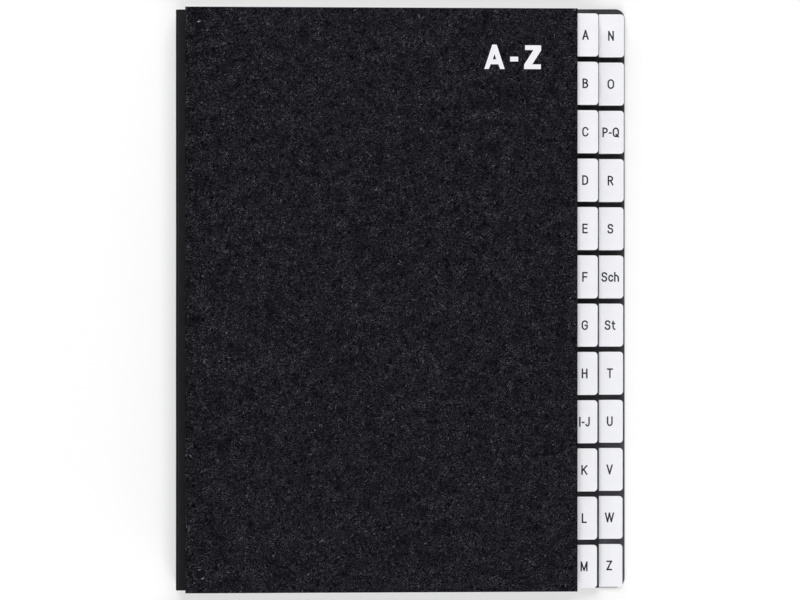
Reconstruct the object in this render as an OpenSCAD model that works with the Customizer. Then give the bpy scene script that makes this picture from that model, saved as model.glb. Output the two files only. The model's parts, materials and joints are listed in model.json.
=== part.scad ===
// Alphabetical desk sorter: hardboard covers and index dividers bound in a pleated cloth spine.
// It lies closed on its back cover. +X points to the index tabs, +Y to the head, +Z up.
// The origin is on the table, under the middle of the folder.
// The spine is thicker than the fore edge, so each layer lies on its own slope and the pack is a wedge.

/* [Covers] */
// Height of both covers, head to foot
cover_height = 340; // [338:1:350]
// Width of the whole folder, from the spine folds to the back cover's fore edge
folder_width = 263.5; // [255:0.1:275]
// Thickness of a hardboard cover
board_thickness = 2; // [1.6:0.1:2.4]
// How far the lowest spine fold stands out past the covers
cover_setback = 6.9; // [5:0.1:9]
// How much higher the back cover sits than the front cover
cover_stagger = 0.95; // [0:0.05:1.5]
// Corner radius at the back cover's fore edge
corner_radius = 5.5; // [2:0.5:8]
// Strip of the inner tabs that the front cover hides
tab_overlap = 2.25; // [1:0.05:4]

/* [Dividers] */
// Height of a divider card, head to foot
card_height = 336; // [332:1:336]
// Thickness of a divider card
card_thickness = 0.34; // [0.3:0.01:0.36]
// Distance between dividers at the fore edge
fore_pitch = 0.55; // [0.55:0.01:0.7]
// How far the dividers sit below the middle of the front cover
pack_drop = 0.6; // [0:0.05:1]

/* [Index tabs] */
// Width of a tab, out from the edge of its divider
tab_width = 14.8; // [12:0.05:15]
// Height of a tab
tab_height = 25.15; // [20:0.05:27]
// Step from the inner column of tabs to the outer one
column_step = 16.05; // [15:0.05:18]
// Margin of back cover past the outer tabs
tab_margin = 1.4; // [1:0.1:4]
// Corner radius of a tab
tab_radius = 2; // [0.8:0.1:3]
// Thickness of one leaf of the label and its film
film_thickness = 0.09; // [0.06:0.01:0.1]

/* [Spine] */
// Height of the cloth, head to foot
spine_height = 337; // [332:1:337]
// Distance between folds
spine_pitch = 1; // [0.98:0.01:1.2]
// How far each fold lies behind the one below it
spine_lean = 0.065; // [0:0.005:0.08]
// Thickness of the bookcloth
cloth_thickness = 0.255; // [0.2:0.005:0.26]
// How far a fold reaches onto its divider
fold_reach = 14; // [8:0.5:20]
// How far an end leaf reaches onto its cover
leaf_reach = 34; // [24:1:45]
// How far the front leaf stops short of the last fold's middle, so that the cover opens flat
leaf_setback = 0.8; // [0.75:0.05:1.2]

/* [Rivets] */
// Diameter of a rivet head
head_diameter = 6.3; // [5:0.1:8]
// Height of a domed head above the front cover
dome_height = 1.2; // [0.8:0.1:1.6]
// Diameter of a rivet shank
shank_diameter = 3; // [2:0.1:3.5]
// Diameter of the spread end inside the folder
spread_diameter = 4.8; // [4:0.1:5]
// Distance of a rivet from the cover's spine edge
rivet_inset = 8.8; // [6:0.1:12]
// Distance of a rivet from the cover's head or foot
rivet_end_inset = 10.7; // [8:0.1:15]

/* [Hidden] */
$fn = 48;
letters = ["a", "b", "c", "d", "e", "f", "g", "h", "ij", "k", "l", "m",
           "n", "o", "pq", "r", "s", "sch", "st", "t", "u", "v", "w", "z"];
dividers = len(letters);
rows = dividers / 2;
row_pitch = (card_height - tab_height) / (rows - 1);

// Layers are counted up from the back leaf: 0 is the back leaf, the last divider is 1, the front leaf is on top.
front_layer = dividers + 1;
fold_radius = card_thickness / 2 + cloth_thickness;

// Lengths along a layer are measured from the middle of its fold.
outer_card_end = folder_width - fold_radius - tab_margin - tab_width;
inner_card_end = outer_card_end - column_step;
front_cover_end = inner_card_end + tab_overlap;
back_cover_end = folder_width - fold_radius;
tongue_length = tab_width - tab_radius;
rivet_y = cover_height / 2 - rivet_end_inset;

// The folder is centred on its whole height, so the covers and the pack each have their own middle.
back_y = cover_stagger / 2;
front_y = -cover_stagger / 2;
pack_y = front_y - pack_drop;

// Rivets are pressed through holes with a little room all round.
rivet_room = 0.05;
flat_head_height = 0.6;
spread_height = 0.25;

board_colour = "#1e1d22";
card_colour = "#262629";
cloth_colour = "#25252a";
label_colour = "#f2f1f6";
rivet_colour = "#101012";

function layer_of(index) = dividers - index;
function card_end(index) = index < rows ? inner_card_end : outer_card_end;
function tab_y(index) = (card_height - tab_height) / 2 - (index % rows) * row_pitch;
function fold_x(layer) = -folder_width / 2 + fold_radius + layer * spine_lean;
function cover_start(layer) = cover_setback - fold_radius - layer * spine_lean;
function cover_y(layer) = layer == 0 ? back_y : front_y;
function fold_z(layer) = board_thickness + fold_radius + layer * spine_pitch;
function fore_z(layer) = board_thickness + layer * fore_pitch;
function slope(layer) = layer == 0 ? 0 : atan((fold_z(layer) - fore_z(layer)) / inner_card_end);

// Puts a flat layer on its own slope, with the middle of its fold on the hinge line.
module on_layer(layer) {
    translate([fold_x(layer), 0, fold_z(layer)])
        rotate([0, slope(layer), 0])
            children();
}

// Extrudes a profile drawn in X and Z along the spine. The cloth is centred on the front cover.
module along_spine() {
    translate([0, front_y, 0])
        rotate([90, 0, 0])
            linear_extrude(spine_height, center = true)
                children();
}

// A strip that starts square at x = 0 and ends with two rounded corners.
module rounded_end(length, height, radius) {
    translate([0, -height / 2])
        square([length - radius, height]);
    translate([0, radius - height / 2])
        square([length, height - 2 * radius]);
    for (side = [-1, 1])
        translate([length - radius, side * (height / 2 - radius)])
            circle(radius);
}

// A strip of doubled cloth with a round fold at x = 0.
module fold_profile(reach) {
    circle(fold_radius);
    translate([0, -fold_radius])
        square([reach, 2 * fold_radius]);
}

module at_rivets(layer) {
    for (side = [-1, 1])
        translate([cover_start(layer) + rivet_inset, cover_y(layer) + side * rivet_y, 0])
            children();
}

// Holes for the shanks of one cover's rivets, through everything near the layer.
module shank_holes(layer) {
    at_rivets(layer)
        cylinder(h = 4 * board_thickness, d = shank_diameter + 2 * rivet_room, center = true);
}

// Sinks for the spread ends, in the face of a hinge leaf that looks into the folder.
module spread_sinks(layer) {
    at_rivets(layer)
        translate([0, 0, -fold_radius - 1])
            cylinder(h = spread_height + rivet_room + 1, d = spread_diameter + 2 * rivet_room);
}

// Shank and spread end of a rivet, from the inner face of a hinge leaf to the outer face of its cover.
module rivet_stem() {
    translate([0, 0, -fold_radius]) {
        cylinder(h = 2 * fold_radius + board_thickness, d = shank_diameter);
        cylinder(h = spread_height, d = spread_diameter);
    }
}

// The back leaf and its rivets are the front ones turned over.
module turned_over() {
    on_layer(0)
        mirror([0, 0, 1])
            children();
}

// Drills a hinge leaf for the rivets of its cover.
module drilled_leaf(layer) {
    difference() {
        children();
        shank_holes(layer);
        spread_sinks(layer);
    }
}

module back_cover() {
    color(board_colour)
        difference() {
            translate([fold_x(0) + cover_start(0), back_y, 0])
                linear_extrude(board_thickness)
                    rounded_end(back_cover_end - cover_start(0), cover_height, corner_radius);
            turned_over()
                shank_holes(0);
            turned_over()
                at_rivets(0)
                    translate([0, 0, fold_radius + board_thickness - flat_head_height])
                        cylinder(h = board_thickness, d = head_diameter + 2 * rivet_room);
        }
}

module back_hinge_leaf() {
    color(cloth_colour)
        turned_over()
            drilled_leaf(0)
                along_spine()
                    fold_profile(leaf_reach);
}

// Flat heads, let into the back cover so that it rests on its whole face.
module back_rivets() {
    color(rivet_colour)
        turned_over()
            at_rivets(0) {
                rivet_stem();
                translate([0, 0, fold_radius + board_thickness - flat_head_height + rivet_room])
                    cylinder(h = flat_head_height - rivet_room, d = head_diameter);
            }
}

// A card with its tongue, and the spine fold that wraps its left edge.
module divider(index) {
    on_layer(layer_of(index)) {
        color(card_colour)
            translate([0, pack_y, 0])
                linear_extrude(card_thickness, center = true) {
                    translate([0, -card_height / 2])
                        square([card_end(index), card_height]);
                    translate([0, tab_y(index) - tab_height / 2])
                        square([card_end(index) + tongue_length, tab_height]);
                }
        color(cloth_colour)
            difference() {
                along_spine()
                    fold_profile(fold_reach);
                translate([0, pack_y - card_height / 2, -card_thickness / 2])
                    cube([fold_reach + 1, card_height, card_thickness]);
            }
    }
}

// A label under film, folded round the tongue of its divider.
module tab(index) {
    color(label_colour)
        on_layer(layer_of(index))
            translate([card_end(index), pack_y + tab_y(index), 0])
                difference() {
                    linear_extrude(card_thickness + 2 * film_thickness, center = true)
                        rounded_end(tab_width, tab_height, tab_radius);
                    linear_extrude(card_thickness, center = true)
                        translate([-1, -tab_height])
                            square([tongue_length + 1, 2 * tab_height]);
                }
}

module front_cover() {
    color(board_colour)
        on_layer(front_layer)
            difference() {
                translate([cover_start(front_layer), front_y - cover_height / 2, fold_radius])
                    cube([front_cover_end - cover_start(front_layer), cover_height, board_thickness]);
                shank_holes(front_layer);
            }
}

module front_hinge_leaf() {
    color(cloth_colour)
        on_layer(front_layer)
            drilled_leaf(front_layer)
                along_spine()
                    translate([leaf_setback + fold_radius, 0])
                        fold_profile(leaf_reach - leaf_setback - fold_radius);
}

module front_rivets() {
    dome_radius = (pow(head_diameter / 2, 2) + pow(dome_height, 2)) / (2 * dome_height);
    color(rivet_colour)
        on_layer(front_layer)
            at_rivets(front_layer) {
                rivet_stem();
                translate([0, 0, fold_radius + board_thickness])
                    intersection() {
                        translate([0, 0, dome_height - dome_radius])
                            sphere(dome_radius);
                        cylinder(h = 2 * dome_height, d = 2 * head_diameter);
                    }
            }
}

back_cover();
back_hinge_leaf();
back_rivets();
for (index = [0 : dividers - 1]) {
    divider(index);
    tab(index);
}
front_cover();
front_hinge_leaf();
front_rivets();
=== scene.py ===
# %% [markdown]
# # A desk sorter for A4 papers
# The object is a closed folder that lies on its back cover: two hardboard covers, 24 divider cards with
# white index tabs, a pleated cloth spine and four rivets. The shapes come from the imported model, which is
# loaded first and never moved. This file gives every surface its finish, and adds what is too soft or too
# fine for the model: the cloth of the spine and the print.

# %% Load the frame
import json
import math

import bpy
from mathutils import Matrix, Vector


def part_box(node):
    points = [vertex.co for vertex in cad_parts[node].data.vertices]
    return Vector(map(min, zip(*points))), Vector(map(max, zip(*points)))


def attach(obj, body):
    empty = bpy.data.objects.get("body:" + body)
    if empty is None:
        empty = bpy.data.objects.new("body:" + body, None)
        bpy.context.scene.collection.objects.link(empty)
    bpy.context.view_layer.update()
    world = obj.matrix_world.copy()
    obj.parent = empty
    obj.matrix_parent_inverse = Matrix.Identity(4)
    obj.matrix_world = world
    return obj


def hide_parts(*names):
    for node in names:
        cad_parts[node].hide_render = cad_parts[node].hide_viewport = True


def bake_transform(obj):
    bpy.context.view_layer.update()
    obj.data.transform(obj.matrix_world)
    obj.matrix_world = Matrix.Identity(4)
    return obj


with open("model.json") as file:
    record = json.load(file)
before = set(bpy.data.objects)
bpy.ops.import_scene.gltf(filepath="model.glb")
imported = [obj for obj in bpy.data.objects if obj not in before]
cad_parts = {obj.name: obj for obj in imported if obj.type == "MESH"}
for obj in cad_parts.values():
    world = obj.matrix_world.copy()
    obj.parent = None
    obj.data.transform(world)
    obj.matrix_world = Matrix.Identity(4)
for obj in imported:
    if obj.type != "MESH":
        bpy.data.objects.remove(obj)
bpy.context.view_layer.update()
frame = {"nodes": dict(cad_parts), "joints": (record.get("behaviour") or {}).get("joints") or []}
nodes = frame["nodes"]
MM = 0.001

# %% [markdown]
# ## Layers
# The folder is a stack: the back cover is layer 0, the dividers follow from Z up to A, and the front cover
# is the last. Each layer turns on the fold of the one beneath it, so the joints of the model already say
# where the folds are. Each layer also lies on its own slope, because the spine is thicker than the fore
# edge. The slope could be typed in again, but reading it from the upper face of a node keeps the two in
# step.

# %% Read the layers
NEARLY_UP = 0.99
SAME_LEVEL = 0.01 * MM
SPINE = Vector((0, 1, 0))
joints = frame["joints"]
bodies = ["back_cover"] + [joint["child"] for joint in joints]
letters = [body.removeprefix("divider_") for body in bodies[1:-1]]
folds = [Vector(joint["pos_m"]) for joint in joints]
folds.append(2 * folds[-1] - folds[-2])


def upper_face(node):
    """Normal of a flat node's upper face, and the corners of that face."""
    mesh = nodes[node].data
    faces = [face for face in mesh.polygons if face.normal.z > NEARLY_UP]
    normal = max(faces, key=lambda face: face.area).normal.copy()
    level = max(face.center.dot(normal) for face in faces)
    upper = [face for face in faces if level - face.center.dot(normal) < SAME_LEVEL]
    return normal, [mesh.vertices[i].co.copy() for face in upper for i in face.vertices]


def layer_axes(normal):
    """Rotation that lays a flat drawing on a layer: X down its slope, Y along the spine, Z out of it."""
    return Matrix((SPINE.cross(normal), SPINE, normal)).transposed()


faces_of = ["back_cover"] + [f"tab_{letter}" for letter in letters] + ["front_cover"]
axes = [layer_axes(upper_face(node)[0]) for node in faces_of]
slopes = [math.degrees(math.atan2(turn[0][2], turn[2][2])) for turn in axes]
print(len(bodies), "layers; slopes from", round(slopes[0], 2), "to", round(slopes[-1], 2), "degrees")

# %% [markdown]
# ## Camera
# The picture looks straight down on the closed folder. The front cover's spine edge looks a little taller
# than its fore edge because it stands higher, and that difference gives the height of the camera. The focal
# length then follows from how tall the fore edge is in the picture.

# %% Camera
PICTURE_WIDTH = 800
FORE_EDGE_PIXELS = 583.2
CAMERA_HEIGHT = 1870 * MM
CAMERA_SHIFT = -0.3 * MM
SENSOR_WIDTH = 36

cover_corners = upper_face("front_cover")[1]
fore_corner = max(cover_corners, key=lambda corner: corner.x)
cover_low, cover_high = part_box("front_cover")
cover_height = cover_high.y - cover_low.y
pixels_per_metre = FORE_EDGE_PIXELS / cover_height

camera = bpy.data.objects.new("camera", bpy.data.cameras.new("camera"))
camera.data.sensor_width = SENSOR_WIDTH
focal_pixels = pixels_per_metre * (CAMERA_HEIGHT - fore_corner.z)
camera.data.lens = focal_pixels * SENSOR_WIDTH / PICTURE_WIDTH
camera.location = (CAMERA_SHIFT, (cover_low.y + cover_high.y) / 2, CAMERA_HEIGHT)
bpy.context.scene.collection.objects.link(camera)
bpy.context.scene.camera = camera
print("lens", round(camera.data.lens, 1), "mm,", round(pixels_per_metre * MM, 3), "pixels per mm")

# %% [markdown]
# ## Helpers for materials
# A material is a small graph of nodes. One function adds a node: its properties are given by name, and each
# input takes either a value or a link from another node. Inputs are named, or numbered where a node has
# several of one name: 6 and 7 are the two colours of a Mix node. Colours are written as sRGB hex values, as
# they are read off a screen, and one function turns them to the linear values that Blender works with.

# %% Material helpers
def paint(code):
    """Linear colour of an sRGB hex value."""
    channels = [int(code[start:start + 2], 16) / 255 for start in (1, 3, 5)]
    linear = [c / 12.92 if c <= 0.04045 else ((c + 0.055) / 1.055) ** 2.4 for c in channels]
    return (*linear, 1.0)


def add(tree, kind, inputs=None, **settings):
    """Adds a node. Settings are its properties; an input takes a value or a link from another socket."""
    node = tree.nodes.new(kind)
    for name, value in settings.items():
        setattr(node, name, value)
    for name, value in (inputs or {}).items():
        if isinstance(value, bpy.types.NodeSocket):
            tree.links.new(value, node.inputs[name])
        else:
            node.inputs[name].default_value = value
    return node


def start_material(name):
    """An empty material and its node tree."""
    material = bpy.data.materials.new(name)
    material.use_nodes = True
    material.node_tree.nodes.clear()
    return material, material.node_tree


def per_mm(size):
    """Scale of a pattern whose features are this many millimetres apart."""
    return 1 / (size * MM)


def put_on(material, *names):
    """Gives a material to CAD nodes, in every slot that they have."""
    for name in names:
        slots = nodes[name].material_slots
        if not slots:
            nodes[name].data.materials.append(material)
        for slot in slots:
            slot.material = material


print("a grey of #808080 is", round(paint("#808080")[0], 3), "in linear values")

# %% [markdown]
# ## Covers: a pressed leather grain
# The covers are pressed hardboard. Their outside is coated black and embossed with a fine leather grain:
# short wrinkles that rise to the right, whose tops catch the light by chance, so that from afar the cover
# looks speckled. The wrinkles could be modelled, but there are far too many. Instead a ridged noise draws
# them, and the light their tops catch is painted into the colour as highlights, in cells of random
# brightness. Broader noises flatten the grain and its painted highlights in patches and change their tone.
# The relief is drawn deeper than it is, to show.

# %% Leather grain
# Sizes in millimetres. The stretch is a wrinkle's length over its width, and the turn is its direction.
GRAIN_WRINKLE = 1.1
GRAIN_STRETCH = 2.3
GRAIN_TURN = math.radians(28)
GRAIN_BEND = 4
GRAIN_BEND_REACH = 5
GRAIN_GLINT_CELL = 0.5
GRAIN_PATCH = 4.5
GRAIN_TONE = 6.5
GRAIN_RELIEF = 0.06
# Painted glints: how rare, their least strength, their sharpness, and the level that patches flatten them to.
GLINT_RARITY = 4.4
LEAST_GLINT = 0.02
GLINT_SHARPNESS = 2.0
GLINT_MIDDLE = 0.035


def leather_grain(tree, place):
    """Black coating, embossed like leather, with painted highlights on the tops of its wrinkles."""
    bend = add(tree, "ShaderNodeTexNoise", {"Vector": place, "Scale": per_mm(GRAIN_BEND), "Detail": 1.0})
    bent = add(tree, "ShaderNodeVectorMath", {0: bend.outputs["Color"], 1: (0.5, 0.5, 0.5)},
               operation="SUBTRACT")
    bent = add(tree, "ShaderNodeVectorMath", {0: bent.outputs[0], "Scale": GRAIN_BEND_REACH * MM},
               operation="SCALE")
    bent = add(tree, "ShaderNodeVectorMath", {0: bent.outputs[0], 1: place}, operation="ADD")
    bent = add(tree, "ShaderNodeMapping", {"Vector": bent.outputs[0], "Rotation": (0, 0, GRAIN_TURN),
                                           "Scale": (1, 1 / GRAIN_STRETCH, 1)}, vector_type="TEXTURE")

    ridges = add(tree, "ShaderNodeTexNoise", {"Vector": bent.outputs[0], "Scale": per_mm(GRAIN_WRINKLE),
                                              "Detail": 1.0, "Offset": 1.0, "Gain": 1.5},
                 noise_type="RIDGED_MULTIFRACTAL")
    wrinkles = add(tree, "ShaderNodeMapRange", {"Value": ridges.outputs["Fac"],
                                                "From Min": 0.55, "From Max": 1.6})
    # Painted highlights: the tops of the wrinkles are lightened as if they caught the lamps, more in some
    # cells than others.
    cells = add(tree, "ShaderNodeTexVoronoi", {"Vector": bent.outputs[0], "Scale": per_mm(GRAIN_GLINT_CELL)})
    chance = add(tree, "ShaderNodeSeparateColor", {"Color": cells.outputs["Color"]})
    glint_chance = add(tree, "ShaderNodeMath", {0: chance.outputs["Red"], 1: GLINT_RARITY}, operation="POWER")
    glint_chance = add(tree, "ShaderNodeMath", {0: glint_chance.outputs[0], 1: LEAST_GLINT}, operation="ADD")
    painted_glints = add(tree, "ShaderNodeMath", {0: wrinkles.outputs[0], 1: GLINT_SHARPNESS}, operation="POWER")
    painted_glints = add(tree, "ShaderNodeMath", {0: painted_glints.outputs[0], 1: glint_chance.outputs[0]}, operation="MULTIPLY")

    patches = add(tree, "ShaderNodeTexNoise", {"Vector": place, "Scale": per_mm(GRAIN_PATCH), "Detail": 2.0})
    depth = add(tree, "ShaderNodeMapRange", {"Value": patches.outputs["Fac"], "From Min": 0.28,
                                             "From Max": 0.46, "To Min": 0.35, "To Max": 1.0})
    painted_glints = add(tree, "ShaderNodeMath", {0: painted_glints.outputs[0], 1: GLINT_MIDDLE}, operation="SUBTRACT")
    painted_glints = add(tree, "ShaderNodeMath", {0: painted_glints.outputs[0], 1: depth.outputs[0], 2: GLINT_MIDDLE},
               operation="MULTIPLY_ADD")
    clouds = add(tree, "ShaderNodeTexNoise", {"Vector": place, "Scale": per_mm(GRAIN_TONE), "Detail": 3.0})
    tone = add(tree, "ShaderNodeMapRange", {"Value": clouds.outputs["Fac"], "From Min": 0.3, "From Max": 0.7,
                                            "To Min": 0.5, "To Max": 1.5})
    painted_glints = add(tree, "ShaderNodeMath", {0: painted_glints.outputs[0], 1: tone.outputs[0]}, operation="MULTIPLY")

    relief = add(tree, "ShaderNodeMath", {0: wrinkles.outputs[0], 1: depth.outputs[0]}, operation="MULTIPLY")
    bump = add(tree, "ShaderNodeBump", {"Height": relief.outputs[0], "Distance": GRAIN_RELIEF * MM})
    # The dark colour is the black coating; the light colour is the painted highlight on the tops.
    colour = add(tree, "ShaderNodeMix", {0: painted_glints.outputs[0], 6: paint("#040307"), 7: paint("#96939f")},
                 data_type="RGBA")
    shader = add(tree, "ShaderNodeBsdfPrincipled", {
        "Base Color": colour.outputs[2], "Roughness": 0.42, "IOR": 1.45, "Specular IOR Level": 0.08,
        "Normal": bump.outputs[0]})
    return shader.outputs[0]


print("grain: wrinkles", GRAIN_WRINKLE, "mm apart, patches of", GRAIN_PATCH, "mm")

# %% [markdown]
# ## Covers: lining and cut edges
# Inside, the covers are lined with dark paper. Dyed paper is never quite even: fibres clump together, so it
# is drawn as a fine noise on a broader one, both coarser than they are, to show. The cut edges show the
# layers of the pressed board, as a noise that is stretched along the edge.

# %% Lining and cut edges
LINING_FIBRE = 1.6
LINING_CLOUD = 7
PAPER_RELIEF = 0.03
EDGE_LAYER = 0.5
EDGE_RELIEF = 0.04
EDGE_FLATTEN = (0.2, 0.2, 1)


def mottle(tree, place, fibre, cloud):
    """Uneven tone of dyed paper, from 0 to 1: fibres in broad clouds. Both sizes are in millimetres."""
    fibres = add(tree, "ShaderNodeTexNoise", {"Vector": place, "Scale": per_mm(fibre), "Detail": 5.0})
    clouds = add(tree, "ShaderNodeTexNoise", {"Vector": place, "Scale": per_mm(cloud), "Detail": 4.0})
    both = add(tree, "ShaderNodeMath", {0: fibres.outputs["Fac"], 1: clouds.outputs["Fac"]}, operation="ADD")
    tone = add(tree, "ShaderNodeMapRange", {"Value": both.outputs[0], "From Min": 0.75, "From Max": 1.25})
    return tone.outputs[0]


def lining_paper(tree, place):
    """Dark paper, glued to the inside of a cover."""
    tone = mottle(tree, place, LINING_FIBRE, LINING_CLOUD)
    colour = add(tree, "ShaderNodeMix", {0: tone, 6: paint("#39393d"), 7: paint("#4f4f54")}, data_type="RGBA")
    bump = add(tree, "ShaderNodeBump", {"Height": tone, "Distance": PAPER_RELIEF * MM})
    shader = add(tree, "ShaderNodeBsdfPrincipled", {
        "Base Color": colour.outputs[2], "Roughness": 0.8, "Normal": bump.outputs[0]})
    return shader.outputs[0]


def cut_edge(tree, place):
    """Layers of pressed board in a cut edge."""
    pressed = add(tree, "ShaderNodeVectorMath", {0: place, 1: EDGE_FLATTEN}, operation="MULTIPLY")
    layers = add(tree, "ShaderNodeTexNoise", {"Vector": pressed.outputs[0], "Scale": per_mm(EDGE_LAYER),
                                              "Detail": 3.0})
    colour = add(tree, "ShaderNodeMix", {0: layers.outputs["Fac"], 6: paint("#161618"), 7: paint("#2e2d31")},
                 data_type="RGBA")
    bump = add(tree, "ShaderNodeBump", {"Height": layers.outputs["Fac"], "Distance": EDGE_RELIEF * MM})
    shader = add(tree, "ShaderNodeBsdfPrincipled", {
        "Base Color": colour.outputs[2], "Roughness": 0.75, "Normal": bump.outputs[0]})
    return shader.outputs[0]


print("lining: fibres of", LINING_FIBRE, "mm; edges: layers of", EDGE_LAYER, "mm")

# %% [markdown]
# ## Covers: the boards
# One material holds all three surfaces of a cover. It could be split by face, but the direction of the
# surface, in the cover's own space, tells the faces apart as well, and stays right when a cover opens. A
# bevel as fine as the rubbed arris of a cut board catches a thin line of light.

# %% Boards
EDGE_RUB = 0.25
# A face whose normal has less than this along Z is a cut edge.
FLAT_FACE = 0.5
SHARP = math.radians(50)


def leather_grain_board(name, outside_up):
    """Lined hardboard, with its grained face up or down."""
    material, tree = start_material(name)
    coordinates = add(tree, "ShaderNodeTexCoord")
    place = coordinates.outputs["Object"]
    facing = add(tree, "ShaderNodeSeparateXYZ", {"Vector": coordinates.outputs["Normal"]})
    inside = add(tree, "ShaderNodeMath", {0: facing.outputs["Z"],
                                          1: -FLAT_FACE if outside_up else FLAT_FACE},
                 operation="LESS_THAN" if outside_up else "GREATER_THAN")
    faces = add(tree, "ShaderNodeMixShader", {0: inside.outputs[0], 1: leather_grain(tree, place),
                                              2: lining_paper(tree, place)})
    upright = add(tree, "ShaderNodeMath", {0: facing.outputs["Z"]}, operation="ABSOLUTE")
    cut = add(tree, "ShaderNodeMath", {0: upright.outputs[0], 1: FLAT_FACE}, operation="LESS_THAN")
    surface = add(tree, "ShaderNodeMixShader", {0: cut.outputs[0], 1: faces.outputs[0],
                                                2: cut_edge(tree, place)})
    add(tree, "ShaderNodeOutputMaterial", {"Surface": surface.outputs[0]})
    return material


def rub_edges(name):
    """Takes the sharpness off a cover's cut edges."""
    bevel = bpy.data.objects[name].modifiers.new("rubbed_edges", "BEVEL")
    bevel.width = EDGE_RUB * MM
    bevel.segments = 2
    bevel.limit_method = "ANGLE"
    bevel.angle_limit = SHARP


put_on(leather_grain_board("leather_grain_hardboard_front", True), "front_cover")
put_on(leather_grain_board("leather_grain_hardboard_back", False), "back_cover")
rub_edges("front_cover")
rub_edges("back_cover")
print("two boards, edges rubbed by", EDGE_RUB, "mm")

# %% [markdown]
# ## Dividers: black card
# The dividers are cut from dyed card with a dull surface. A plain black would look like plastic, so the
# card has the same uneven tone as the lining, but darker. Its fibres are drawn coarser than they are, to
# show.

# %% Divider card
CARD_FIBRE = 1.6
CARD_CLOUD = 9


def dyed_card():
    """Dull black card with clouds of fibres."""
    material, tree = start_material("dyed_black_card")
    place = add(tree, "ShaderNodeTexCoord").outputs["Object"]
    tone = mottle(tree, place, CARD_FIBRE, CARD_CLOUD)
    colour = add(tree, "ShaderNodeMix", {0: tone, 6: paint("#1e1e21"), 7: paint("#303035")}, data_type="RGBA")
    bump = add(tree, "ShaderNodeBump", {"Height": tone, "Distance": PAPER_RELIEF * MM})
    shader = add(tree, "ShaderNodeBsdfPrincipled", {
        "Base Color": colour.outputs[2], "Roughness": 0.75, "Normal": bump.outputs[0]})
    add(tree, "ShaderNodeOutputMaterial", {"Surface": shader.outputs[0]})
    return material


put_on(dyed_card(), *[f"divider_{letter}" for letter in letters])
print(len(letters), "divider cards")

# %% [markdown]
# ## Index tabs: white label under film
# Each tab is a paper label under a clear film, folded round the tongue of its divider. The film could be a
# sheet of its own, but it is far thinner than a pixel. The paper gives the white, and the film gives a soft
# gloss over it, so the shader has a coat.

# %% Index tabs
LABEL_CLOUD = 6
LABEL_RELIEF = 0.01


def film_label():
    """White label paper under clear film."""
    material, tree = start_material("label_paper_under_film")
    place = add(tree, "ShaderNodeTexCoord").outputs["Object"]
    cloud = add(tree, "ShaderNodeTexNoise", {"Vector": place, "Scale": per_mm(LABEL_CLOUD), "Detail": 3.0})
    colour = add(tree, "ShaderNodeMix", {0: cloud.outputs["Fac"], 6: paint("#efeff3"), 7: paint("#f5f5f9")},
                 data_type="RGBA")
    bump = add(tree, "ShaderNodeBump", {"Height": cloud.outputs["Fac"], "Distance": LABEL_RELIEF * MM})
    shader = add(tree, "ShaderNodeBsdfPrincipled", {
        "Base Color": colour.outputs[2], "Roughness": 0.45, "IOR": 1.48, "Coat Weight": 0.4,
        "Coat Roughness": 0.12, "Normal": bump.outputs[0]})
    add(tree, "ShaderNodeOutputMaterial", {"Surface": shader.outputs[0]})
    return material


put_on(film_label(), *[f"tab_{letter}" for letter in letters])
print(len(letters), "film labels")

# %% [markdown]
# ## Rivets: black lacquered steel
# The rivets are steel under a smooth black lacquer. The steel itself doesn't show, so the shader isn't
# metallic: lacquer is a clear, glossy skin over a dark colour, and the lamps show as small bright crescents
# near the rims of the heads. A slight ripple keeps them from looking like glass.

# %% Rivets
LACQUER_RIPPLE = 1.5
LACQUER_RELIEF = 0.01


def black_lacquer():
    """Glossy black lacquer on a pressed steel head."""
    material, tree = start_material("black_lacquered_steel")
    place = add(tree, "ShaderNodeTexCoord").outputs["Object"]
    ripple = add(tree, "ShaderNodeTexNoise", {"Vector": place, "Scale": per_mm(LACQUER_RIPPLE),
                                              "Detail": 2.0})
    rough = add(tree, "ShaderNodeMapRange", {"Value": ripple.outputs["Fac"], "To Min": 0.1, "To Max": 0.18})
    bump = add(tree, "ShaderNodeBump", {"Height": ripple.outputs["Fac"], "Distance": LACQUER_RELIEF * MM})
    shader = add(tree, "ShaderNodeBsdfPrincipled", {
        "Base Color": paint("#131218"), "Roughness": rough.outputs[0], "IOR": 1.5, "Normal": bump.outputs[0]})
    add(tree, "ShaderNodeOutputMaterial", {"Surface": shader.outputs[0]})
    return material


put_on(black_lacquer(), "front_rivets", "back_rivets")
print("rivets lacquered")

# %% [markdown]
# ## Bookcloth
# The spine is one strip of black bookcloth, a woven cotton with a filled, smooth face. The weave follows
# the cloth round its folds, so the pattern is laid out on a map of the flat strip, in metres, which every
# piece of cloth carries. The threads are drawn coarser than they are, to show.

# %% Bookcloth
THREAD = 0.5
SLUB = 7
WEAVE_RELIEF = 0.012


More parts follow.
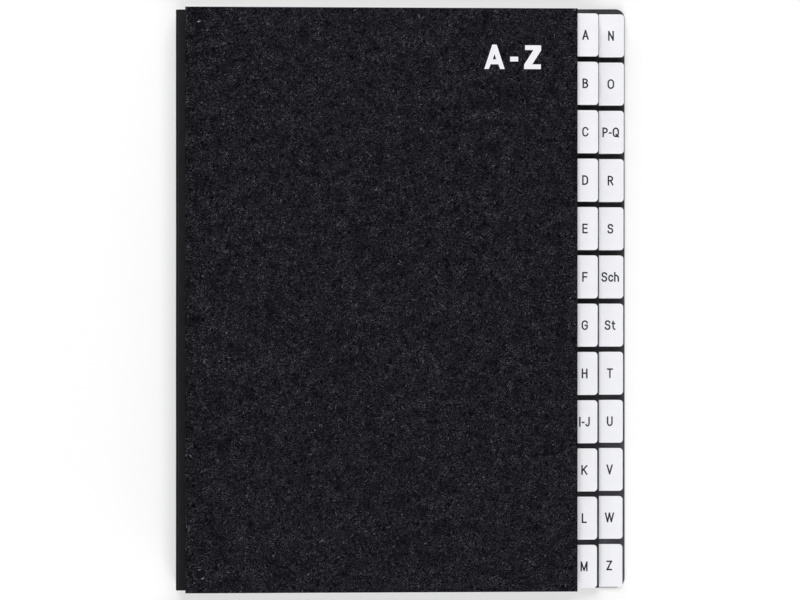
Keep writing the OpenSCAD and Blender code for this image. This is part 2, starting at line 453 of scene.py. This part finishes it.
def bookcloth():
    """Black woven cloth with a filled face, patterned by the map of the flat strip."""
    material, tree = start_material("filled_bookcloth")
    strip = add(tree, "ShaderNodeTexCoord").outputs["UV"]
    axis = add(tree, "ShaderNodeSeparateXYZ", {"Vector": strip})
    turn = 2 * math.pi / (THREAD * MM)
    across = add(tree, "ShaderNodeMath", {0: axis.outputs["X"], 1: turn}, operation="MULTIPLY")
    along = add(tree, "ShaderNodeMath", {0: axis.outputs["Y"], 1: turn}, operation="MULTIPLY")
    warp = add(tree, "ShaderNodeMath", {0: across.outputs[0]}, operation="SINE")
    weft = add(tree, "ShaderNodeMath", {0: along.outputs[0]}, operation="SINE")
    weave = add(tree, "ShaderNodeMath", {0: warp.outputs[0], 1: weft.outputs[0]}, operation="MULTIPLY")
    slubs = add(tree, "ShaderNodeTexNoise", {"Vector": strip, "Scale": per_mm(SLUB), "Detail": 3.0})
    colour = add(tree, "ShaderNodeMix", {0: slubs.outputs["Fac"], 6: paint("#0e0e11"), 7: paint("#1c1c20")},
                 data_type="RGBA")
    bump = add(tree, "ShaderNodeBump", {"Height": weave.outputs[0], "Distance": WEAVE_RELIEF * MM})
    rough = add(tree, "ShaderNodeMapRange", {"Value": slubs.outputs["Fac"], "To Min": 0.42, "To Max": 0.6})
    shader = add(tree, "ShaderNodeBsdfPrincipled", {
        "Base Color": colour.outputs[2], "Roughness": rough.outputs[0], "Sheen Weight": 0.1,
        "Sheen Roughness": 0.5, "Normal": bump.outputs[0]})
    add(tree, "ShaderNodeOutputMaterial", {"Surface": shader.outputs[0]})
    return material


cloth = bookcloth()
print("bookcloth with threads", THREAD, "mm apart")

# %% [markdown]
# ## Pleats of the spine
# On the real folder the strip runs round the edge of a divider, into the pocket above it, back out along
# the underside of the next divider, and round its edge. The outer folds are glued round the cards; the
# inner folds are free and open with the pockets. The strip could be one long mesh, but a piece can bend
# across one joint only, so it is cut where the glue holds it: one piece for each pocket.
#
# Each piece is drawn as a profile, one line for the outer face of the cloth and one for the inner face, and
# swept along the spine. Hand-glued folds are never quite straight, so they swell a little, by a fraction of
# a millimetre, along their length.

# %% Lines of the cloth
FOLD_RADIUS = folds[0].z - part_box("back_cover")[1].z
PROUD = 0.03 * MM
CLOTH = 0.1 * MM
POCKET = 14.5 * MM
OUTER_STEPS = 14
INNER_STEPS = 10
SWELL = 0.08 * MM
SLOW_WAVE = 23 * MM
FAST_WAVE = 9 * MM


def on_layer(layer, along, out):
    """A point at a distance along a layer from the middle of its fold, and out from its middle plane."""
    return folds[layer] + axes[layer] @ Vector((along, 0, out))


def outer_fold(layer, radius, swell=0.0, start=0.0, level=0.0):
    """Points round a fold at the spine, from its lower face to its upper face."""
    turns = [math.pi * step / OUTER_STEPS for step in range(OUTER_STEPS + 1)]
    return [on_layer(layer, start - (radius + swell) * math.sin(turn), level - radius * math.cos(turn))
            for turn in turns]


def inner_fold(lower, upper, way, thickness):
    """Points round a fold between two legs, from the lower leg to the upper one."""
    middle = (lower + upper) / 2
    side = (lower - middle).normalized()
    radius = (lower - middle).length + thickness
    turns = [math.pi * step / INNER_STEPS for step in range(INNER_STEPS + 1)]
    return [middle + radius * (math.cos(turn) * side + math.sin(turn) * way) for turn in turns]


def swelling(layer, y):
    """How far an outer fold swells at one place along the spine: two waves, shifted from layer to layer."""
    slow = math.sin(y / SLOW_WAVE + 1.7 * layer)
    fast = math.sin(y / FAST_WAVE + 2.9 * layer)
    return SWELL * (1 + 0.6 * slow + 0.4 * fast)


print("fold radius", round(FOLD_RADIUS / MM, 3), "mm")

# %% [markdown]
# ## Sweep of the cloth
# A curve with a bevel could sweep a profile too, but here the profile changes along the spine. So the
# profile is drawn at a row of stations, as a closed ring of points: the outer line out and the inner line
# back. Faces join each ring to the next, and close both ends. The map of the flat strip is laid out from
# the first ring.

# %% Sweep of the cloth
STATIONS = 30
cloth_low, cloth_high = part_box("back_hinge_leaf")
heights = [cloth_low.y + (cloth_high.y - cloth_low.y) * step / (STATIONS - 1) for step in range(STATIONS)]


def flat_strip_map(mesh, ring, count):
    """Lays the weave out: the distance along the profile, and the place along the spine."""
    along = [0.0]
    for i in range(1, count // 2):
        along.append(along[-1] + (ring[i] - ring[i - 1]).length)
    along += along[::-1]
    layout = mesh.uv_layers.new(name="flat_strip")
    for loop in mesh.loops:
        place = mesh.vertices[loop.vertex_index].co
        layout.data[loop.index].uv = (along[loop.vertex_index % count], place.y)


def cloth_piece(name, lines):
    """A strip of cloth swept along the spine. lines(y) gives the points of its outer and its inner face."""
    rings = []
    for y in heights:
        outer, inner = lines(y)
        rings.append([point + y * SPINE for point in outer + inner[::-1]])
    count = len(rings[0])
    points = [point for ring in rings for point in ring]
    faces = []
    for station in range(STATIONS - 1):
        low, high = station * count, (station + 1) * count
        faces += [(low + i, low + (i + 1) % count, high + (i + 1) % count, high + i) for i in range(count)]
    last = (STATIONS - 1) * count
    for i in range(count // 2 - 1):
        faces.append((i, count - 1 - i, count - 2 - i, i + 1))
        faces.append((last + i, last + i + 1, last + count - 2 - i, last + count - 1 - i))
    mesh = bpy.data.meshes.new(name)
    mesh.from_pydata(points, [], faces)
    flat_strip_map(mesh, rings[0], count)
    mesh.shade_smooth()
    mesh.set_sharp_from_angle(angle=SHARP)
    mesh.materials.append(cloth)
    piece = bpy.data.objects.new(name, mesh)
    bpy.context.scene.collection.objects.link(piece)
    return piece


print(STATIONS, "stations along", round((cloth_high.y - cloth_low.y) / MM, 1), "mm of spine")

# %% [markdown]
# ## Pleats between the dividers
# A pleat starts round the edge of one divider, runs into the pocket on top of it, turns back in the inner
# fold, and comes out under the next divider. It is drawn a hair proud of the solid folds, which it covers.

# %% Pleats between the dividers
OUTSIDE = FOLD_RADIUS + PROUD


def pocket_lines(layer, first_outer, first_inner):
    """Outer and inner line of a pleat: what comes before, the inner fold, and the leg under the next card."""
    lower = first_outer[-1]
    along = (lower - folds[layer + 1]).dot(axes[layer + 1].col[0])
    upper = on_layer(layer + 1, along, -OUTSIDE)
    way = axes[layer].col[0]
    outer = first_outer + inner_fold(lower, upper, way, 0)[1:-1] + [upper, on_layer(layer + 1, 0, -OUTSIDE)]
    inner = first_inner + inner_fold(lower, upper, way, CLOTH)[1:-1]
    inner += [on_layer(layer + 1, along, CLOTH - OUTSIDE), on_layer(layer + 1, 0, CLOTH - OUTSIDE)]
    return outer, inner


def bend_across(piece):
    """Bakes the placement of a pleat into its mesh."""
    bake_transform(piece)


def divider_pleat(layer):
    """The pleat from the fold round one divider to the underside of the next."""
    def lines(y):
        swell = swelling(layer, y)
        outer = outer_fold(layer, OUTSIDE, swell) + [on_layer(layer, POCKET, OUTSIDE)]
        inner = outer_fold(layer, OUTSIDE - CLOTH, swell) + [on_layer(layer, POCKET, OUTSIDE - CLOTH)]
        return pocket_lines(layer, outer, inner)

    piece = cloth_piece(f"spine_pleat_{letters[layer]}", lines)
    bend_across(piece)
    return piece


pleats = [divider_pleat(layer) for layer in range(1, len(letters))]
print(len(pleats), "pleats of", round((2 * POCKET + math.pi * OUTSIDE) / MM, 1), "mm of cloth each")

# %% [markdown]
# ## Leaf on the back cover
# At the back cover the strip ends in a doubled leaf that the flat rivets hold. It could end under the first
# pleat as a piece of its own, but on the real folder the cloth runs on, so leaf and first pleat are one
# piece.

# %% Leaf on the back cover
LEAF_PLY = 0.28 * MM
LEAF_THIN = 0.1 * MM
LEAF_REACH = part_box("back_hinge_leaf")[1].x - folds[0].x
leaf_radius = FOLD_RADIUS - LEAF_THIN / 2


def back_leaf_lines(y):
    """The leaf lies on the back cover, turns at the spine, and goes on as the first pleat."""
    swell = swelling(0, y)
    level = -LEAF_THIN / 2
    outer = [on_layer(0, LEAF_REACH, level - leaf_radius)] + outer_fold(0, leaf_radius, swell, 0, level)
    inner = [on_layer(0, LEAF_REACH, level - leaf_radius + LEAF_PLY)]
    inner += outer_fold(0, leaf_radius - LEAF_PLY, swell, 0, level)
    outer.append(on_layer(0, POCKET, level + leaf_radius))
    inner.append(on_layer(0, POCKET, level + leaf_radius - CLOTH))
    return pocket_lines(0, outer, inner)


back_leaf = cloth_piece(f"spine_pleat_{letters[0]}_and_back_leaf", back_leaf_lines)
bend_across(back_leaf)
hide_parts("back_hinge_leaf")
print("back leaf reaches", round(LEAF_REACH / MM, 1), "mm onto its cover")

# %% [markdown]
# ## Last fold and front leaf
# The last divider has a fold round its edge like the others, with one leg on top. Under the front cover
# there is another doubled leaf, which the domed rivets hold. The last fold swells less, because the hinge
# is drawn over it.

# %% Last fold and front leaf
LAST_SWELL = 0.5
last = len(letters)
front_low, front_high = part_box("front_hinge_leaf")
leaf_start = front_low.x - folds[last + 1].x + leaf_radius
leaf_end = front_high.x - folds[last + 1].x


def last_swell(y):
    """How far the last fold swells at one place along the spine."""
    return LAST_SWELL * swelling(last, y)


def last_fold_lines(y):
    """The fold round the last divider, and the leg on top of it."""
    swell = last_swell(y)
    outer = outer_fold(last, OUTSIDE, swell) + [on_layer(last, POCKET, OUTSIDE)]
    inner = outer_fold(last, OUTSIDE - CLOTH, swell) + [on_layer(last, POCKET, OUTSIDE - CLOTH)]
    return outer, inner


def front_leaf_lines(y):
    """The doubled leaf under the front cover."""
    level = LEAF_THIN / 2
    outer, inner = [], []
    for line, radius in ((outer, leaf_radius), (inner, leaf_radius - LEAF_PLY)):
        line += [on_layer(last + 1, leaf_end, level - radius)]
        line += outer_fold(last + 1, radius, 0, leaf_start, level)
        line += [on_layer(last + 1, leaf_end, level + radius)]
    return outer, inner


last_fold = cloth_piece(f"spine_fold_{letters[-1]}", last_fold_lines)
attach(last_fold, bodies[last])

front_leaf = cloth_piece("spine_front_leaf", front_leaf_lines)
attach(front_leaf, "front_cover")
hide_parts("front_hinge_leaf")
print("front leaf from", round(leaf_start / MM, 2), "to", round(leaf_end / MM, 1), "mm")

# %% [markdown]
# ## Hinge of the front cover
# A narrow hinge of the same cloth joins the front leaf to the last divider: it is glued to the divider's
# edge and runs under the edge of the leaf. The cover opens past half a turn. The hinge has no points
# between its two ends, and runs straight from the one to the other.

# %% Hinge of the front cover
HINGE_LEG = 10 * MM
HINGE_PLY = 0.05 * MM
HINGE_ROOM = 0.012 * MM
HINGE_RISE = 0.135 * MM
GLUED_AT = math.radians(200)
LEAVES_AT = math.radians(130)
HINGE_STEPS = 8


def hinge_lines(y):
    """A narrow strip, glued to the edge of the last divider, then straight to the underside of the leaf."""
    lines = []
    for depth in (0.0, HINGE_PLY):
        line = []
        for step in range(HINGE_STEPS + 1):
            share = step / HINGE_STEPS
            turn = GLUED_AT + (LEAVES_AT - GLUED_AT) * share
            radius = OUTSIDE + HINGE_ROOM + HINGE_PLY + HINGE_RISE * share ** 2 - depth
            line.append(on_layer(last, (radius + last_swell(y)) * math.cos(turn), radius * math.sin(turn)))
        under = LEAF_THIN - FOLD_RADIUS - HINGE_ROOM - depth
        line += [on_layer(last + 1, leaf_start, under), on_layer(last + 1, HINGE_LEG, under)]
        lines.append(line)
    return lines


hinge = cloth_piece("spine_cover_hinge", hinge_lines)
hinge_line = hinge_lines(0)[0]
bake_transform(hinge)

# %% [markdown]
# ## Letters
# The tabs are printed with plain, narrow drafting letters, all of one stroke width. Blender's own font is
# too wide for them. A letter of one stroke is easily drawn like bent wire: straight strokes between two
# points, and bent strokes whose corners are rounded. The points are on a unit square, which is stretched to
# the letter's width and height, and every stroke then becomes a flat ribbon.

# %% Strokes
# Width between the outer strokes in cap heights, straight strokes, bent strokes.
WIRE_LETTERS = {
    "A": (0.51, [[(0, 0), (0.5, 1)], [(0.5, 1), (1, 0)], [(0.2, 0.33), (0.8, 0.33)]], []),
    "B": (0.45, [[(0, 0), (0, 1)]],
          [[(0, 1), (0.9, 1), (0.9, 0.54), (0, 0.54)], [(0, 0.54), (1, 0.54), (1, 0), (0, 0)]]),
    "C": (0.48, [], [[(1, 0.76), (1, 1), (0, 1), (0, 0), (1, 0), (1, 0.24)]]),
    "D": (0.47, [[(0, 0), (0, 1)]], [[(0, 1), (1, 1), (1, 0), (0, 0)]]),
    "E": (0.4, [[(0, 0), (0, 1)], [(0, 1), (1, 1)], [(0, 0.53), (0.9, 0.53)], [(0, 0), (1, 0)]], []),
    "F": (0.4, [[(0, 0), (0, 1)], [(0, 1), (1, 1)], [(0, 0.5), (0.9, 0.5)]], []),
    "G": (0.5, [[(0.6, 0.48), (1, 0.48)]], [[(1, 0.78), (1, 1), (0, 1), (0, 0), (1, 0), (1, 0.48)]]),
    "H": (0.45, [[(0, 0), (0, 1)], [(1, 0), (1, 1)], [(0, 0.53), (1, 0.53)]], []),
    "I": (0.0, [[(0, 0), (0, 1)]], []),
    "J": (0.3, [], [[(1, 1), (1, 0), (0, 0), (0, 0.16)]]),
    "K": (0.47, [[(0, 0), (0, 1)], [(1, 1), (0, 0.36)], [(0.36, 0.58), (1, 0)]], []),
    "L": (0.36, [[(0, 0), (0, 1)], [(0, 0), (1, 0)]], []),
    "M": (0.57, [[(0, 0), (0, 1)], [(0, 1), (0.5, 0.04)], [(0.5, 0.04), (1, 1)], [(1, 1), (1, 0)]], []),
    "N": (0.44, [[(0, 0), (0, 1)], [(0, 1), (1, 0)], [(1, 0), (1, 1)]], []),
    "O": (0.54, [], [[(0.5, 0), (1, 0), (1, 1), (0, 1), (0, 0), (0.5, 0)]]),
    "P": (0.41, [[(0, 0), (0, 1)]], [[(0, 1), (1, 1), (1, 0.46), (0, 0.46)]]),
    "Q": (0.5, [[(0.58, 0.24), (1, -0.04)]], [[(0.5, 0), (1, 0), (1, 1), (0, 1), (0, 0), (0.5, 0)]]),
    "R": (0.44, [[(0, 0), (0, 1)], [(0.5, 0.48), (1, 0)]], [[(0, 1), (0.95, 1), (0.95, 0.48), (0, 0.48)]]),
    "S": (0.45, [],
          [[(0.97, 0.8), (0.97, 1), (0.03, 1), (0.03, 0.53), (1, 0.53), (1, 0), (0, 0), (0, 0.2)]]),
    "T": (0.46, [[(0, 1), (1, 1)], [(0.5, 0), (0.5, 1)]], []),
    "U": (0.45, [], [[(0, 1), (0, 0), (1, 0), (1, 1)]]),
    "V": (0.5, [[(0, 1), (0.5, 0)], [(0.5, 0), (1, 1)]], []),
    "W": (0.8, [[(0, 1), (0.26, 0)], [(0.26, 0), (0.5, 1)], [(0.5, 1), (0.74, 0)], [(0.74, 0), (1, 1)]], []),
    "Z": (0.43, [[(0, 1), (1, 1)], [(1, 1), (0, 0)], [(0, 0), (1, 0)]], []),
    "-": (0.15, [[(0, 0.42), (1, 0.42)]], []),
    "c": (0.36, [], [[(1, 0.54), (1, 0.7), (0, 0.7), (0, 0), (1, 0), (1, 0.16)]]),
    "h": (0.36, [[(0, 0), (0, 1)]], [[(0, 0.7), (1, 0.7), (1, 0)]]),
    "t": (0.26, [[(0, 0.7), (0.9, 0.7)]], [[(0.35, 0.94), (0.35, 0), (1, 0)]]),
}
print(len(WIRE_LETTERS), "letters")

# %% [markdown]
# ## Ribbons
# A stroke is a line of points. Its bent corners are filled with short steps, and then the line gets a left
# and a right edge, half a stroke away. At both ends it is half a stroke longer, so that strokes which meet
# fill their corner.

# %% Ribbons
CAP_HEIGHT = 5.7
STROKE = 0.86
BEND = 1.7
BEND_STEPS = 8
LETTER_GAP = 0.55
TOO_SHORT = 1e-9


def rounded(corners, radius):
    """Points of a stroke whose right-angled corners are bent to a radius, or less where there is no room."""
    points = [corners[0]]
    for i in range(1, len(corners) - 1):
        corner = corners[i]
        cuts = []
        for j in (i - 1, i + 1):
            side = corners[j] - corner
            room = side.length if j in (0, len(corners) - 1) else side.length / 2
            cuts.append(min(radius, room) * side.normalized())
        before, after = cuts
        turns = [math.pi / 2 * step / BEND_STEPS for step in range(BEND_STEPS + 1)]
        points += [corner + before * (1 - math.sin(turn)) + after * (1 - math.cos(turn)) for turn in turns]
    return points + [corners[-1]]


def ribbon(points, width):
    """Left and right edge of a flat ribbon along the points, half a width longer at both ends."""
    points = [p for i, p in enumerate(points) if i == 0 or (p - points[i - 1]).length > TOO_SHORT]
    points[0] = points[0] + (points[0] - points[1]).normalized() * width / 2
    points[-1] = points[-1] + (points[-1] - points[-2]).normalized() * width / 2
    left, right = [], []
    for i, point in enumerate(points):
        into = (point - points[i - 1]).normalized() if i else (points[1] - point).normalized()
        out = (points[i + 1] - point).normalized() if i + 1 < len(points) else into
        across = Vector((-into.y - out.y, into.x + out.x))
        across = across.normalized() * width / (2 * math.sqrt((1 + into.dot(out)) / 2))
        left.append(point + across)
        right.append(point - across)
    return left, right


def word_ribbons(word):
    """Ribbons of a short word, in metres, with the middle of its ink at the origin."""
    pens = []
    start = STROKE / 2
    tall = CAP_HEIGHT - STROKE
    for letter in word:
        width, straight, bent = WIRE_LETTERS[letter]
        width *= CAP_HEIGHT
        for stroke in straight + bent:
            corners = [Vector((start + x * width, y * tall - tall / 2)) for x, y in stroke]
            pens.append(rounded(corners, BEND) if stroke in bent else corners)
        start += width + STROKE + LETTER_GAP
    middle = Vector(((start - STROKE / 2 - LETTER_GAP) / 2, 0))
    return [ribbon([(point - middle) * MM for point in pen], STROKE * MM) for pen in pens]


print("the longest word has", len(word_ribbons("Sch")), "strokes")

# %% [markdown]
# ## Printing ink
# The letters are printed in a dull dark grey. One flat grey would do from afar, but printed ink is a little
# uneven where the film took less of it. A fine noise between two close greys shows that from near.

# %% Printing ink
INK_CLOUD = 0.4


def printing_ink(name, dark, light):
    """Dull printing ink, a little uneven where it took less."""
    material, tree = start_material(name)
    place = add(tree, "ShaderNodeTexCoord").outputs["Object"]
    cover = add(tree, "ShaderNodeTexNoise", {"Vector": place, "Scale": per_mm(INK_CLOUD), "Detail": 2.0})
    colour = add(tree, "ShaderNodeMix", {0: cover.outputs["Fac"], 6: paint(dark), 7: paint(light)},
                 data_type="RGBA")
    shader = add(tree, "ShaderNodeBsdfPrincipled", {"Base Color": colour.outputs[2], "Roughness": 0.5})
    add(tree, "ShaderNodeOutputMaterial", {"Surface": shader.outputs[0]})
    return material


letter_ink = printing_ink("dark_grey_printing_ink", "#121214", "#1e1e21")
print("ink:", letter_ink.name)

# %% [markdown]
# ## Print on the tabs
# Each tab carries its letters on both faces, so that a sorter that is open in the middle can still be read.
# The print could be painted into the label's material, but strokes of their own stay sharp from near. They
# lie a hundredth of a millimetre or so off the film, and overlapping strokes lie at slightly different
# heights.

# %% Print on the tabs
TAB_WORDS = {"ij": "I-J", "pq": "P-Q", "sch": "Sch", "st": "St"}
INK_LIFT = 0.012 * MM
INK_STEP = 0.0015 * MM
# How far the print of each column is off the middle of its tabs.
PRINT_SHIFTS = {"inner": -0.15 * MM, "outer": -0.3 * MM}
# A card with a leaf of label and film on each face.
TAB_THICKNESS = 0.52 * MM


def tab_middle(letter, layer):
    """Middle of a tab's upper face, moved by its column's shift, and the normal of that face."""
    normal, corners = upper_face(f"tab_{letter}")
    across = axes[layer].col[0]
    middles = []
    for way in (across, SPINE, normal):
        levels = [corner.dot(way) for corner in corners]
        middles.append((min(levels) + max(levels)) / 2 * way)
    column = "outer" if layer <= len(letters) / 2 else "inner"
    return sum(middles, Vector()) + PRINT_SHIFTS[column] * across, normal


def print_tab(letter, layer):
    """Letters on both faces of one tab, as one piece."""
    upper, normal = tab_middle(letter, layer)
    across = axes[layer].col[0]
    points, faces = [], []
    for side in (1, -1):
        face = upper if side > 0 else upper - TAB_THICKNESS * normal
        for number, (left, right) in enumerate(word_ribbons(TAB_WORDS.get(letter, letter.upper()))):
            lift = side * (INK_LIFT + number * INK_STEP) * normal
            first = len(points)
            for edge in (left, right):
                points += [face + side * point.x * across + point.y * SPINE + lift for point in edge]
            count = len(left)
            faces += [(first + i, first + count + i, first + count + i + 1, first + i + 1)
                      for i in range(count - 1)]
    mesh = bpy.data.meshes.new(f"print_{letter}")
    mesh.from_pydata(points, [], faces)
    mesh.materials.append(letter_ink)
    piece = bpy.data.objects.new(f"print_{letter}", mesh)
    bpy.context.scene.collection.objects.link(piece)
    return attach(piece, f"divider_{letter}")


prints = [print_tab(letter, layer) for layer, letter in enumerate(letters, start=1)]
print(len(prints), "tabs printed")

# %% [markdown]
# ## Mark on the front cover
# The range of the index is printed in white near the head of the cover, in broad letters with slanting
# cuts. Few straight edges make them, so their corners are given in millimetres, and the faces between them
# by number.

# %% Mark on the front cover
MARK_FROM_EDGES = 21.3 * MM
MARK_CORNERS = [
    (-5.95, 0), (-1.28, 14.2), (1.28, 14.2), (5.95, 0), (3.3, 0), (2.25, 2.74), (-2.25, 2.74), (-3.3, 0),
    (0, 8.7), (-0.97, 5.6), (0.97, 5.6),
    (9.1, 4.4), (13.85, 4.4), (13.85, 7.2), (9.1, 7.2),
    (17.9, 13.9), (27.25, 13.9), (27.25, 10.9), (22.1, 2.8), (27.1, 2.8), (27.1, 0), (17.3, 0), (17.3, 2.6),
    (22.7, 11.1), (17.9, 11.1),
]
MARK_FACES = [
    (0, 1, 8, 9, 6, 7), (1, 2, 8), (2, 3, 4, 5, 10, 8), (9, 10, 5, 6), (11, 12, 13, 14),
    (15, 16, 17, 23, 24), (23, 17, 18, 21, 22), (18, 19, 20, 21),
]


def mark_points():
    """Corners of the mark on the cover, at equal distances from its fore edge and its head."""
    normal, corners = upper_face("front_cover")
    across = axes[-1].col[0]
    right = max(x for x, y in MARK_CORNERS) * MM
    tall = max(y for x, y in MARK_CORNERS) * MM
    start = max(corner.dot(across) for corner in corners) - MARK_FROM_EDGES - right
    foot = max(corner.y for corner in corners) - MARK_FROM_EDGES - tall
    level = max(corner.dot(normal) for corner in corners) + INK_LIFT
    return [(start + x * MM) * across + (foot + y * MM) * SPINE + level * normal for x, y in MARK_CORNERS]


mark_mesh = bpy.data.meshes.new("print_front_cover")
mark_mesh.from_pydata(mark_points(), [], [face[::-1] for face in MARK_FACES])
mark_mesh.materials.append(printing_ink("white_printing_ink", "#e6e5ea", "#efeef3"))
mark = bpy.data.objects.new("print_front_cover", mark_mesh)
bpy.context.scene.collection.objects.link(mark)
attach(mark, "front_cover")
print("mark", round(max(x for x, y in MARK_CORNERS) - min(x for x, y in MARK_CORNERS), 1), "mm wide")

# %% [markdown]
# ## Floor
# The stage is a plain pale floor. It could be lit until it is white, but then the tabs would lose their
# shape. Its own colour is a light grey instead, and what the camera and reflections see of it is lifted to
# white, more so far away. The shadow under the folder stays.

# %% Floor
FLOOR_RADIUS = 8.0
FLOOR_SIDES = 64
FLOOR_DROP = 0.1 * MM
# Lift near the folder and far away, and the distances in metres between which it grows.
NEAR_LIFT, FAR_LIFT = 0.35, 0.9
NEAR, FAR = 0.2, 3.0
turns = [math.tau * i / FLOOR_SIDES for i in range(FLOOR_SIDES)]
rim = [(FLOOR_RADIUS * math.cos(turn), FLOOR_RADIUS * math.sin(turn), 0) for turn in turns]
floor_mesh = bpy.data.meshes.new("floor")
floor_mesh.from_pydata(rim, [], [range(FLOOR_SIDES)])
floor = bpy.data.objects.new("floor", floor_mesh)
floor.location.z = -FLOOR_DROP
bpy.context.scene.collection.objects.link(floor)

floor_material, tree = start_material("pale_floor")
ray = add(tree, "ShaderNodeLightPath")
seen = add(tree, "ShaderNodeMath", {0: ray.outputs["Is Camera Ray"], 1: ray.outputs["Is Glossy Ray"]},
           operation="ADD")
seen = add(tree, "ShaderNodeMath", {0: seen.outputs[0], 1: ray.outputs["Is Transmission Ray"]},
           operation="ADD", use_clamp=True)
matt = add(tree, "ShaderNodeBsdfDiffuse", {"Color": paint("#cfcfcf")})
place = add(tree, "ShaderNodeTexCoord").outputs["Object"]
away = add(tree, "ShaderNodeVectorMath", {0: place}, operation="LENGTH")
level = add(tree, "ShaderNodeMapRange", {"Value": away.outputs["Value"], "From Min": NEAR, "From Max": FAR,
                                         "To Min": NEAR_LIFT, "To Max": FAR_LIFT})
level = add(tree, "ShaderNodeMath", {0: level.outputs[0], 1: seen.outputs[0]}, operation="MULTIPLY")
lift = add(tree, "ShaderNodeEmission", {"Color": (1, 1, 1, 1), "Strength": level.outputs[0]})
both = add(tree, "ShaderNodeAddShader", {0: matt.outputs[0], 1: lift.outputs[0]})
add(tree, "ShaderNodeOutputMaterial", {"Surface": both.outputs[0]})
floor_mesh.materials.append(floor_material)
print("floor", 2 * FLOOR_RADIUS, "m across")

# %% [markdown]
# ## Sky
# The world lights the object from all around, and shows in its gloss. An even grey would do, but it would
# also lighten the gaps between the tabs from above. So the sky is white near the horizon, like the walls of
# a studio, and dim overhead.

# %% Sky
HORIZON, ZENITH = 1.0, 0.05
DIM_FROM = 0.45
world = bpy.data.worlds.new("studio")
bpy.context.scene.world = world
world.use_nodes = True
tree = world.node_tree
tree.nodes.clear()
around = add(tree, "ShaderNodeTexCoord").outputs["Generated"]
direction = add(tree, "ShaderNodeSeparateXYZ", {"Vector": around})
level = add(tree, "ShaderNodeMapRange", {"Value": direction.outputs["Z"], "From Min": 0.0,
                                         "From Max": DIM_FROM, "To Min": HORIZON, "To Max": ZENITH},
            interpolation_type="SMOOTHSTEP")
sky = add(tree, "ShaderNodeBackground", {"Color": (1, 1, 1, 1), "Strength": level.outputs[0]})
add(tree, "ShaderNodeOutputWorld", {"Surface": sky.outputs[0]})
print("sky from", HORIZON, "at the horizon to", ZENITH, "overhead")

# %% [markdown]
# ## Softboxes
# The lamps stand beyond the head of the folder and beyond its foot. One lamp straight above would be
# simpler, but it would light the deep gaps between the tabs, which are dark. On each side a low softbox
# rakes over the grain and makes the crescents on the rivets, and a larger, high one gives most of the
# light; that one would only make the black board look grey, so reflections leave it out.

# %% Softboxes
def softbox(name, place, watts, width, height):
    """A rectangular lamp that faces the middle of the folder. Its sizes are in metres."""
    lamp = bpy.data.lights.new(name, "AREA")
    lamp.shape = "RECTANGLE"
    lamp.size = width
    lamp.size_y = height
    lamp.energy = watts
    holder = bpy.data.objects.new(name, lamp)
    holder.location = place
    holder.rotation_mode = "QUATERNION"
    holder.rotation_quaternion = (-Vector(place)).to_track_quat("-Z", "Y")
    holder.visible_camera = False
    bpy.context.scene.collection.objects.link(holder)
    return holder


softbox("low_head_softbox", (-0.40, 1.00, 0.50), 3.0, 0.6, 0.16)
softbox("low_foot_softbox", (0.40, -1.10, 0.50), 2.8, 0.6, 0.16)
high_head = softbox("high_head_softbox", (0.0, 1.4, 2.0), 34.5, 1.6, 1.4)
high_foot = softbox("high_foot_softbox", (0.0, -1.4, 2.0), 30.5, 1.6, 1.4)
high_head.visible_glossy = False
high_foot.visible_glossy = False
print("four softboxes, the high ones left out of reflections")

# %% [markdown]
# ## Finish
# The Standard view shows colours about as they are written.

# %% Finish
bpy.context.scene.view_settings.view_transform = "Standard"
